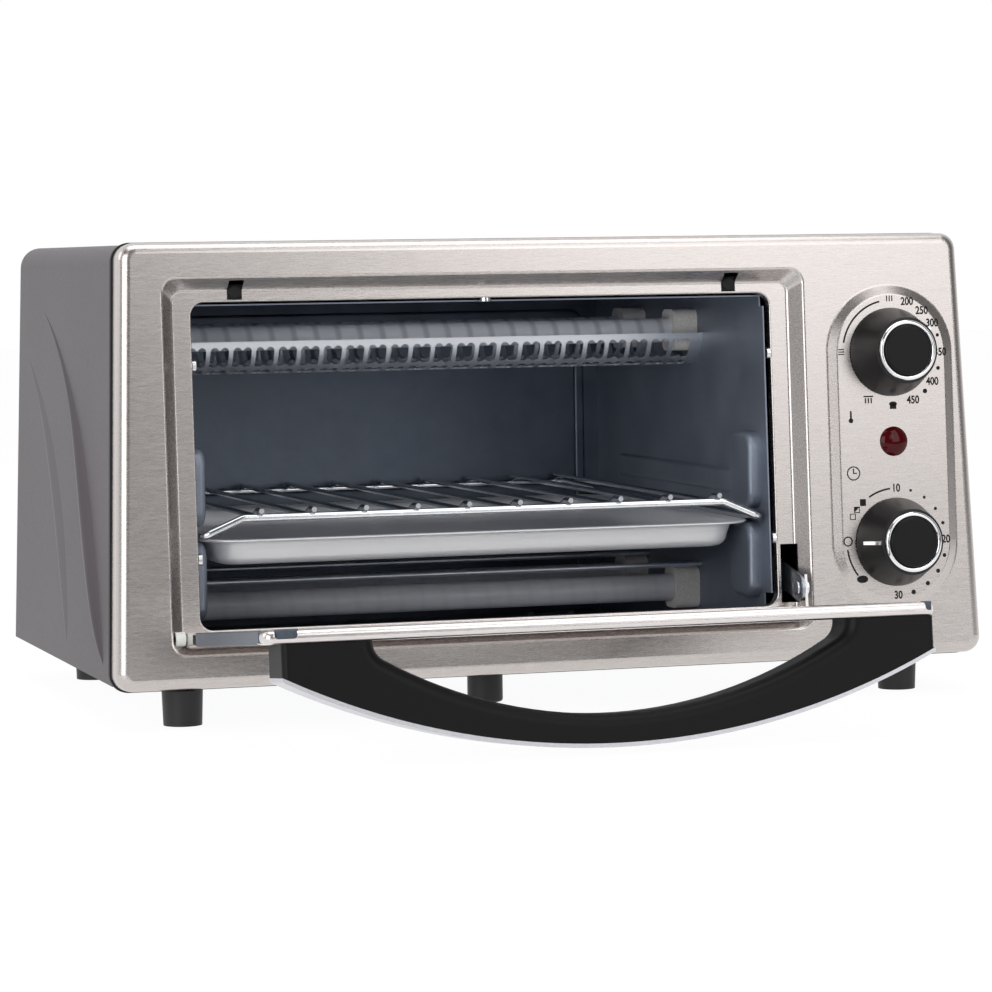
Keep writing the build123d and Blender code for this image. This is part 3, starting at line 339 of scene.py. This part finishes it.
def brushed(name, dark, light, rough):
    """Stainless brushed along X: short fine streaks in colour and gloss."""
    steel = Finish(name, Metallic=1.0)
    fine = steel.noise((170, 3200, 3200), detail=3.0)
    broad = steel.noise((60, 1100, 1100), detail=2.0)
    streak = steel.spread(0.8 * fine + 0.2 * broad, 0.2, 0.8)
    steel.feed(Base_Color=steel.mix(streak, dark, light))
    return steel.feed(Roughness=rough + 0.06 * streak)


stainless = brushed("brushed_stainless", tone(186, 180, 177), tone(214, 207, 204), rough=0.24)
dress(stainless, "front_panel")

screw_steel = Finish("screw_steel", Metallic=1.0, Base_Color=tone(222, 222, 224))
tool_mark = screw_steel.noise((2500, 2500, 2500), detail=2.0)
screw_steel.feed(Roughness=0.14 + 0.16 * tool_mark)
dress(screw_steel, "panel_screws", "back_screws", "foot_screws", "handle_screws", "link_rivet",
      "door_hinge_pins", "thermostat_shaft", "timer_shaft")


# Controls
# Two moulded knobs, each with a half-round chromed ring, a turned cap and a chromed pointer, and a dark
# red domed pilot lens pressed into the panel between them. Their housings are hidden behind the panel.
knob_plastic = Finish("knob_plastic", Specular_IOR_Level=0.4)
knob_grain = knob_plastic.noise((1800, 1800, 1800), detail=3.0)
knob_plastic.feed(Base_Color=knob_plastic.mix(knob_grain, tone(6, 5, 7), tone(12, 11, 13)))
knob_plastic.feed(Roughness=0.3 + 0.12 * knob_grain)
knob_plastic.bump(knob_grain, strength=0.08, depth=0.1 * MM)
dress(knob_plastic, "temperature_knob", "timer_knob")

cap_plastic = Finish("cap_plastic", Specular_IOR_Level=0.24)
cap_grain = cap_plastic.noise((2600, 2600, 2600), detail=2.0)
cap_plastic.feed(Base_Color=cap_plastic.mix(cap_grain, tone(6, 5, 7), tone(12, 11, 13)))
cap_plastic.feed(Roughness=0.34 + 0.1 * cap_grain)
dress(cap_plastic, "temperature_cap", "timer_cap")

chrome = Finish("bright_chrome", Metallic=1.0, Base_Color=tone(235, 235, 237))
chrome.feed(Roughness=0.06 + 0.06 * chrome.noise((600, 600, 600), detail=2.0))
dress(chrome, "temperature_pointer", "timer_pointer")

half_round = ((10.7, -0.8), (10.7, 0.1), (10.95, 0.55), (11.35, 0.77), (11.75, 0.8), (12.2, 0.65),
              (12.55, 0.3), (12.72, -0.2), (12.75, -0.8))
dome = ((0, 5.6), (1.6, 5.55), (3.2, 5.3), (4.6, 4.8), (5.6, 4.2), (6.2, 3.7), (6.3, 3.45), (5.5, 3.4),
        (5.5, -5.6), (0, -5.6))
turning_steps = 96


def turned(name, body, node, profile, finish):
    """A turned piece for a CAD node: its profile is (radius, out from the node's middle) in mm."""
    low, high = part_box(node)
    centre = (low + high) / 2
    mesh = bmesh.new()
    row = [mesh.verts.new(centre + Vector((radius * MM, 0, 0)) - out * MM * knob_inward)
           for radius, out in profile]
    edges = [mesh.edges.new(pair) for pair in zip(row, row[1:] + row[:1])]
    bmesh.ops.spin(mesh, geom=row + edges, cent=centre, axis=knob_inward, angle=2 * pi,
                   steps=turning_steps, use_merge=True)
    bmesh.ops.remove_doubles(mesh, verts=mesh.verts, dist=0.001 * MM)
    bmesh.ops.recalc_face_normals(mesh, faces=mesh.faces)
    smooth(new_piece(name, mesh, body, finish, (node,)))


turned("temperature_bead", "temperature_control", "temperature_ring", half_round, chrome)
turned("timer_bead", "timer_control", "timer_ring", half_round, chrome)

housing = Finish("control_housing", Specular_IOR_Level=0.4)
moulded = housing.noise((800, 800, 800), detail=3.0)
housing.feed(Base_Color=housing.mix(moulded, tone(138, 132, 122), tone(156, 150, 140)))
housing.feed(Roughness=0.5 + 0.15 * moulded)
dress(housing, "thermostat_body", "timer_body", "pilot_lamp")

lens_red = Finish("pilot_lens_red", Specular_IOR_Level=0.22)
swirl = lens_red.noise((260, 260, 260), detail=2.0)
lens_red.feed(Base_Color=lens_red.mix(swirl, tone(52, 2, 7), tone(90, 5, 12)))
lens_red.feed(Roughness=0.04 + 0.04 * swirl)
turned("pilot_dome", "oven", "pilot_lens", dome, lens_red)


# Dial markings
# Printed in black on the embossed field: temperatures and minutes around the knobs, dots and arcs
# between them, and plain signs for warming, toast, grill, heat and time.
ink = Finish("dial_ink", Specular_IOR_Level=0.3)
ink_grain = ink.noise((2500, 2500, 2500), detail=2.0)
ink.feed(Base_Color=ink.mix(ink_grain, tone(8, 8, 9), tone(20, 19, 20)))
ink.feed(Roughness=0.45 + 0.15 * ink_grain)
field_height = 1.8 * MM
ink_height = 0.05 * MM
digit_height = 3.3
digit_width_share = 0.82
digit_boldness = 0.14 * MM
font_size_per_height = 1.4
dial_radius = 22.7
line_width = 0.75


def on_dial(joint, radius, turn):
    """The place of a mark: millimetres from the knob's centre, degrees clockwise from the top."""
    across = Vector((1, 0, 0))
    centre = Vector(joints[joint]["pos_m"]) - knob_inward * field_height
    spot = centre + MM * radius * (sin(radians(turn)) * across + cos(radians(turn)) * panel_up)
    return Matrix.Translation(spot) @ Matrix((across, panel_up, -knob_inward)).transposed().to_4x4()


def stamp(print_mesh, place, outline):
    """A flat printed shape: its outline in mm, given a little height."""
    face = print_mesh.faces.new([print_mesh.verts.new((x * MM, y * MM, 0)) for x, y in outline])
    raised = bmesh.ops.extrude_face_region(print_mesh, geom=[face])["geom"]
    top = [item for item in raised if isinstance(item, bmesh.types.BMVert)]
    bmesh.ops.translate(print_mesh, verts=top, vec=(0, 0, ink_height))
    bmesh.ops.transform(print_mesh, matrix=place, verts=list(face.verts) + top)


def disc(radius, squash=1.0, shift=(0, 0)):
    steps = 24
    turns = [2 * pi * step / steps for step in range(steps)]
    return [(shift[0] + radius * cos(turn), shift[1] + radius * squash * sin(turn)) for turn in turns]


def bar(width, height, shift=(0, 0)):
    x, y = shift
    return [(x - width / 2, y - height / 2), (x + width / 2, y - height / 2),
            (x + width / 2, y + height / 2), (x - width / 2, y + height / 2)]


def arc(print_mesh, joint, radius, start, end):
    """A printed line around the knob, in short bars that overlap a little."""
    steps = max(4, int(abs(end - start) / 4))
    length = radius * radians(abs(end - start)) / steps
    for step in range(steps):
        turn = start + (step + 0.5) * (end - start) / steps
        place = on_dial(joint, radius, turn) @ Matrix.Rotation(-radians(turn), 4, "Z")
        stamp(print_mesh, place, bar(length * 1.04, line_width))


def number(print_mesh, joint, turn, digits):
    curve = bpy.data.curves.new("number", "FONT")
    curve.body = digits
    curve.size = digit_height * MM * font_size_per_height
    curve.align_x = "CENTER"
    curve.align_y = "CENTER"
    curve.extrude = ink_height / 2
    curve.offset = digit_boldness
    holder = bpy.data.objects.new("number", curve)
    bpy.context.scene.collection.objects.link(holder)
    bpy.context.view_layer.update()
    flat = bpy.data.meshes.new_from_object(holder.evaluated_get(bpy.context.evaluated_depsgraph_get()))
    flat.transform(Matrix.Scale(digit_width_share, 4, (1, 0, 0)))
    flat.transform(on_dial(joint, dial_radius, turn))
    print_mesh.from_mesh(flat)
    bpy.data.objects.remove(holder)
    bpy.data.meshes.remove(flat)


marks = bmesh.new()
knob = "temperature_turn"
temperatures = (("200", 20.8), ("250", 40.5), ("300", 58.4), ("350", 91.3), ("400", 124.8), ("450", 155.3))
for digits, turn in temperatures:
    number(marks, knob, turn, digits)
for turn, radius in ((72.6, 0.75), (108.7, 0.85), (138.2, 1.0)):
    stamp(marks, on_dial(knob, dial_radius, turn), disc(radius))
arc(marks, knob, dial_radius - 0.8, -78.8, -12.0)
low_sign = on_dial(knob, dial_radius, -89)
warm_sign = on_dial(knob, dial_radius, 0)
grill_sign = on_dial(knob, dial_radius, -151)
toast_sign = on_dial(knob, dial_radius, 179.4)
heat_sign = on_dial(knob, 33.2, -144.7)
for rise in (-1.0, 0.0, 1.0):
    stamp(marks, low_sign, bar(2.6, 0.45, (0, rise)))
    stamp(marks, warm_sign, bar(0.5, 2.4, (rise * 1.2, 0)))
    stamp(marks, grill_sign, bar(0.6, 2.2, (rise * 1.3, -0.6)))
stamp(marks, grill_sign, bar(4.4, 0.6, (0, 1.2)))
stamp(marks, toast_sign, bar(3.0, 2.2, (0, -0.4)))
stamp(marks, toast_sign, disc(1.8, 0.55, (0, 0.7)))
stamp(marks, heat_sign, bar(0.8, 3.6, (0, 0.6)))
stamp(marks, heat_sign, disc(1.05, 1.0, (0, -1.6)))
new_piece("temperature_marks", marks, "oven", ink)

marks = bmesh.new()
knob = "timer_turn"
for digits, turn in (("10", 1.0), ("20", 89.2), ("30", 180.0)):
    number(marks, knob, turn, digits)
for step, turn in enumerate((18.2, 35.7, 53.5, 71.2, 106.6, 125.0, 142.9, 162.0)):
    stamp(marks, on_dial(knob, dial_radius, turn), disc(0.6 + 0.06 * step))
arc(marks, knob, dial_radius, -32.0, -6.0)
arc(marks, knob, dial_radius, -97.0, -127.0)
dark_toast = on_dial(knob, dial_radius, -41.1)
medium_toast = on_dial(knob, dial_radius, -51.6)
light_toast = on_dial(knob, dial_radius, -60.4)
off_sign = on_dial(knob, 22.3, -87.8)
stay_on_sign = on_dial(knob, 22.3, -133.4)
clock_sign = on_dial(knob, 35.0, -32.5)
stamp(marks, dark_toast, bar(2.7, 2.9))
for square in (medium_toast, light_toast):
    for shift in (-1.15, 1.15):
        stamp(marks, square, bar(2.65, 0.35, (0, shift)))
        stamp(marks, square, bar(0.35, 2.65, (shift, 0)))
stamp(marks, medium_toast, ((-1.1, -1.1), (1.1, 1.1), (-1.1, 1.1)))
stamp(marks, stay_on_sign, disc(2.6, 0.62))
circle_bars = 16
for index in range(circle_bars):
    turn = Matrix.Rotation(2 * pi * index / circle_bars, 4, "Z")
    stamp(marks, off_sign @ turn, bar(0.8, 0.55, (0, 1.85)))
    stamp(marks, clock_sign @ turn, bar(1.2, 0.5, (0, 2.75)))
stamp(marks, clock_sign, bar(0.5, 2.2, (0, 0.95)))
stamp(marks, clock_sign, bar(1.7, 0.5, (0.7, 0)))
new_piece("timer_marks", marks, "oven", ink)


# Rack and pan
# The rack is chrome plated wire. The pan is pressed from aluminium sheet, with round corners and a
# rolled lip, and both slide on the bumps of the side walls.
rack_chrome = Finish("rack_chrome", Metallic=1.0)
plating = rack_chrome.noise((400, 400, 400), detail=3.0)
rack_chrome.feed(Base_Color=rack_chrome.mix(plating, tone(200, 203, 208), tone(228, 230, 233)))
rack_chrome.feed(Roughness=0.1 + 0.12 * plating)
dress(rack_chrome, "rack_frame", "rack_wires")

pan_metal = Finish("pan_aluminium", Metallic=0.3)
drawn = pan_metal.noise((60, 500, 500), detail=3.0)
pan_metal.feed(Base_Color=pan_metal.mix(drawn, tone(238, 239, 243), tone(248, 249, 251)))
pan_metal.feed(Roughness=0.34 + 0.14 * drawn)
pan_metal.bump(drawn, strength=0.08, depth=0.2 * MM)

pan_low, pan_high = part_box("baking_pan")
pan_middle = (pan_low + pan_high) / 2
pan_half = (pan_high - pan_low) / 2
pan_sheet = 0.8 * MM
lip_corner = 20.0 * MM
floor_inset = 13.6 * MM
floor_corner = lip_corner - floor_inset
straight_x = pan_half.x - lip_corner
straight_y = pan_half.y - lip_corner
wall_and_lip = ((1.9, 0.4), (3.5, 1.5), (4.6, 3.1), (5.0, 5.0), (6.2, 8.3), (6.6, 9.3), (7.4, 10.0),
                (12.6, 10.0), (13.3, 10.2), (13.6, 10.6))
dish = bmesh.new()
bmesh.ops.create_grid(dish, x_segments=1, y_segments=1, size=1.0)
floor_half = (pan_half.x - floor_inset, pan_half.y - floor_inset, 1)
bmesh.ops.scale(dish, vec=floor_half, verts=dish.verts)
bmesh.ops.bevel(dish, geom=dish.verts, offset=floor_corner, offset_type="OFFSET", affect="VERTICES",
                segments=8, profile=0.5, material=-1)
outline = dish.edges[:]
for out, rise in wall_and_lip:
    outline, fresh = grown(dish, outline)
    for point in fresh:
        bend_x = max(-straight_x, min(straight_x, point.co.x))
        bend_y = max(-straight_y, min(straight_y, point.co.y))
        bend = Vector((bend_x, bend_y, 0))
        outwards = (Vector((point.co.x, point.co.y, 0)) - bend).normalized()
        point.co = bend + (floor_corner + out * MM) * outwards + Vector((0, 0, rise * MM))
bmesh.ops.translate(dish, verts=dish.verts, vec=(pan_middle.x, pan_middle.y, pan_low.z))
bmesh.ops.recalc_face_normals(dish, faces=dish.faces)
if max(dish.faces, key=lambda face: face.calc_area()).normal.z > 0:
    bmesh.ops.reverse_faces(dish, faces=dish.faces)
pan = new_piece("pressed_pan", dish, "pan", pan_metal, ("baking_pan",))
smooth(pan)
pan_wall = pan.modifiers.new("sheet", "SOLIDIFY")
pan_wall.thickness = pan_sheet
pan_wall.offset = -1.0


# Door
# A pane of clear tempered glass with ground edges, in a brushed steel rail and top trim. The rail turns
# on steel pins in white nylon bushes, and a plated link arm runs into a slot at the right.
clear_glass = Finish("door_pane", Transmission_Weight=1.0, IOR=1.5, Base_Color=(0.93, 0.97, 0.97, 1.0))
clear_glass.feed(Roughness=0.02 + 0.03 * clear_glass.noise((40, 40, 40), detail=3.0))
dress(clear_glass, "door_glass")

glass_edge = Finish("ground_glass_edge", Specular_IOR_Level=0.5)
ground = glass_edge.noise((900, 300, 900), detail=3.0)
glass_edge.feed(Base_Color=glass_edge.mix(ground, tone(52, 60, 72), tone(78, 88, 102)))
glass_edge.feed(Roughness=0.24 + 0.16 * ground)
door_hinge = Vector(joints["door_hinge"]["pos_m"])
door_tilt = radians(5.6)
door_out = Vector((0, -cos(door_tilt), sin(door_tilt)))
door_up = Vector((0, sin(door_tilt), cos(door_tilt)))


def on_door(bars, along, reach, rise, soft):
    """Adds a bar to a mesh: spans in mm along the hinge, out along the door and up from its middle.

    The door's directions are left-handed, so the bar is turned right side out before it is rounded.
    """
    made = bmesh.ops.create_cube(bars, size=1.0)["verts"]
    for point in made:
        spans = zip((along, reach, rise), point.co)
        x, out, up = (((low + high) / 2 + (high - low) * share) * MM for (low, high), share in spans)
        point.co = door_hinge + Vector((x, 0, 0)) + out * door_out + up * door_up
    faces = list({face for point in made for face in point.link_faces})
    bars.normal_update()
    bmesh.ops.recalc_face_normals(bars, faces=faces)
    edges = list({edge for point in made for edge in point.link_edges})
    bmesh.ops.bevel(bars, geom=edges, offset=soft * MM, offset_type="OFFSET", affect="EDGES", segments=4,
                    profile=0.5, material=-1)


pane_edge_reach = (19.6, 125.9)
pane_edge_rise = (-3.2, 2.3)
glass_edges = bmesh.new()
on_door(glass_edges, (-132.2, -129.7), pane_edge_reach, pane_edge_rise, soft=0.6)
on_door(glass_edges, (129.7, 132.2), pane_edge_reach, pane_edge_rise, soft=0.6)
on_door(glass_edges, (-128.8, -120.0), (135.3, 138.7), (-1.7, 2.7), soft=0.8)
on_door(glass_edges, (128.0, 132.2), (135.5, 138.1), (-1.5, 2.5), soft=0.6)
new_piece("door_glass_edges", glass_edges, "door", glass_edge)

door_steel = brushed("door_steel", tone(210, 205, 203), tone(234, 229, 227), rough=0.22)
dress(door_steel, "door_top_trim", "door_bottom_rail")

nylon = Finish("bush_nylon", Subsurface_Weight=0.1, Specular_IOR_Level=0.4)
nylon_grain = nylon.noise((900, 900, 900), detail=2.0)
nylon.feed(Base_Color=nylon.mix(nylon_grain, tone(226, 224, 218), tone(238, 236, 230)))
nylon.feed(Roughness=0.4 + 0.15 * nylon_grain)
dress(nylon, "left_hinge_bush", "right_hinge_bush")

link_plate = Finish("link_plate", Metallic=1.0)
zinc = link_plate.noise((500, 500, 500), detail=3.0)
link_plate.feed(Base_Color=link_plate.mix(zinc, tone(150, 158, 168), tone(178, 185, 194)))
link_plate.feed(Roughness=0.25 + 0.15 * zinc)
dress(link_plate, "hinge_link")

rubber = Finish("bumper_rubber", Specular_IOR_Level=0.3)
rubber_grain = rubber.noise((1500, 1500, 1500), detail=2.0)
rubber.feed(Base_Color=rubber.mix(rubber_grain, tone(18, 17, 18), tone(30, 29, 30)))
rubber.feed(Roughness=0.6 + 0.15 * rubber_grain)
dress(rubber, "door_bumpers")


# Handle
# A bowed handle moulded in heat resistant black plastic with a fine satin grain, with a silver band let
# in along its outer edge. It is screwed through the top trim.
handle_plastic = Finish("handle_plastic", Specular_IOR_Level=0.2)
satin = handle_plastic.noise((2200, 2200, 2200), detail=3.0)
handle_plastic.feed(Base_Color=handle_plastic.mix(satin, tone(7, 6, 8), tone(14, 12, 14)))
handle_plastic.feed(Roughness=0.38 + 0.12 * satin)
handle_plastic.bump(satin, strength=0.15, depth=0.1 * MM)
dress(handle_plastic, "door_handle")

band = Finish("silver_band", Metallic=0.9)
band_grain = band.noise((800, 800, 800), detail=2.0)
band.feed(Base_Color=band.mix(band_grain, tone(200, 200, 206), tone(220, 220, 225)))
band.feed(Roughness=0.3 + 0.12 * band_grain)
dress(band, "handle_strip")


# Studio
# A plain white floor and surround, large soft lamps in front and above, and a long lens from the
# left front, a little above the door.
oven_middle = Vector((0, 0, 0.1))
white = (1, 1, 1, 1)


def area_lamp(name, place, size, power):
    light = bpy.data.lights.new(name, "AREA")
    light.shape = "RECTANGLE"
    light.size, light.size_y = size
    light.energy = power
    lamp = bpy.data.objects.new(name, light)
    aim = oven_middle - Vector(place)
    lamp.matrix_world = Matrix.Translation(place) @ aim.to_track_quat("-Z", "Y").to_matrix().to_4x4()
    bpy.context.scene.collection.objects.link(lamp)


area_lamp("right_lamp", (1.04, -2.05, 1.2), size=(1.06, 2.2), power=13)
area_lamp("top_lamp", (0.0, -0.3, 1.6), size=(1.6, 1.2), power=12)
area_lamp("side_lamp", (-1.5, 0.45, 0.8), size=(0.9, 0.9), power=3)
area_lamp("upper_lamp", (0.44, -2.1, 0.84), size=(0.64, 0.7), power=1.8)
area_lamp("front_lamp", (-1.68, -1.57, 0.6), size=(1.8, 1.5), power=24)

floor_middle = Matrix.Translation((0, 2.7, 0))
white_share = 0.92
floor_mesh = bmesh.new()
bmesh.ops.create_grid(floor_mesh, x_segments=1, y_segments=1, size=4.0, matrix=floor_middle)
floor_data = bpy.data.meshes.new("floor")
floor_mesh.to_mesh(floor_data)
floor_mesh.free()
floor = bpy.data.objects.new("floor", floor_data)
bpy.context.scene.collection.objects.link(floor)
floor_finish = Finish("studio_floor", Base_Color=(0.9, 0.9, 0.9, 1.0), Roughness=0.9,
                      Specular_IOR_Level=0.1)
seen, mirrored, through = (floor_finish.node("ShaderNodeLightPath", {}, {}, ray)
                           for ray in ("Is Camera Ray", "Is Glossy Ray", "Is Transmission Ray"))
glow = floor_finish.node("ShaderNodeEmission", {}, {"Color": white, "Strength": 1.03})
lit = Shade(floor_finish, floor_finish.shader.outputs[0])
share = white_share * (seen + mirrored + through)
floor_look = floor_finish.node("ShaderNodeMixShader", {}, {0: share, 1: lit, 2: glow})
floor_finish.tree.links.new(floor_look.socket, floor_finish.tree.nodes["Material Output"].inputs["Surface"])
floor_data.materials.append(floor_finish.material)


class Surround(Finish):
    """The world's own nodes, added to in the way of a finish's."""

    def __init__(self, world):
        world.use_nodes = True
        self.tree = world.node_tree
        self.shader = self.tree.nodes["Background"]
        self.shader.inputs["Color"].default_value = white


studio = bpy.data.worlds.new("studio")
bpy.context.scene.world = studio
surround = Surround(studio)
facing = surround.node("ShaderNodeTexCoord", {}, {}, "Generated")
behind = surround.node("ShaderNodeSeparateXYZ", {}, {0: facing}, "Y")
dim_front = {"Value": behind, "From Min": -0.3, "From Max": 0.5, "To Min": 0.14, "To Max": 1.0}
level = surround.node("ShaderNodeMapRange", {}, dim_front)
in_view = surround.node("ShaderNodeLightPath", {}, {}, "Is Camera Ray")
surround.feed(Strength=level.maths("MAXIMUM", level, in_view))

lens = bpy.data.cameras.new("camera")
lens.lens = 136.04
lens.sensor_width = 36.0
lens.shift_x = -0.0229
lens.shift_y = 0.0073
lens.clip_end = 50.0
camera = bpy.data.objects.new("camera", lens)
camera.location = (-0.48255, -1.51587, 0.18725)
camera.rotation_euler = (radians(86.2498), radians(0.7950), radians(-17.6289))
bpy.context.scene.collection.objects.link(camera)
bpy.context.scene.camera = camera
bpy.context.scene.view_settings.view_transform = "Standard"
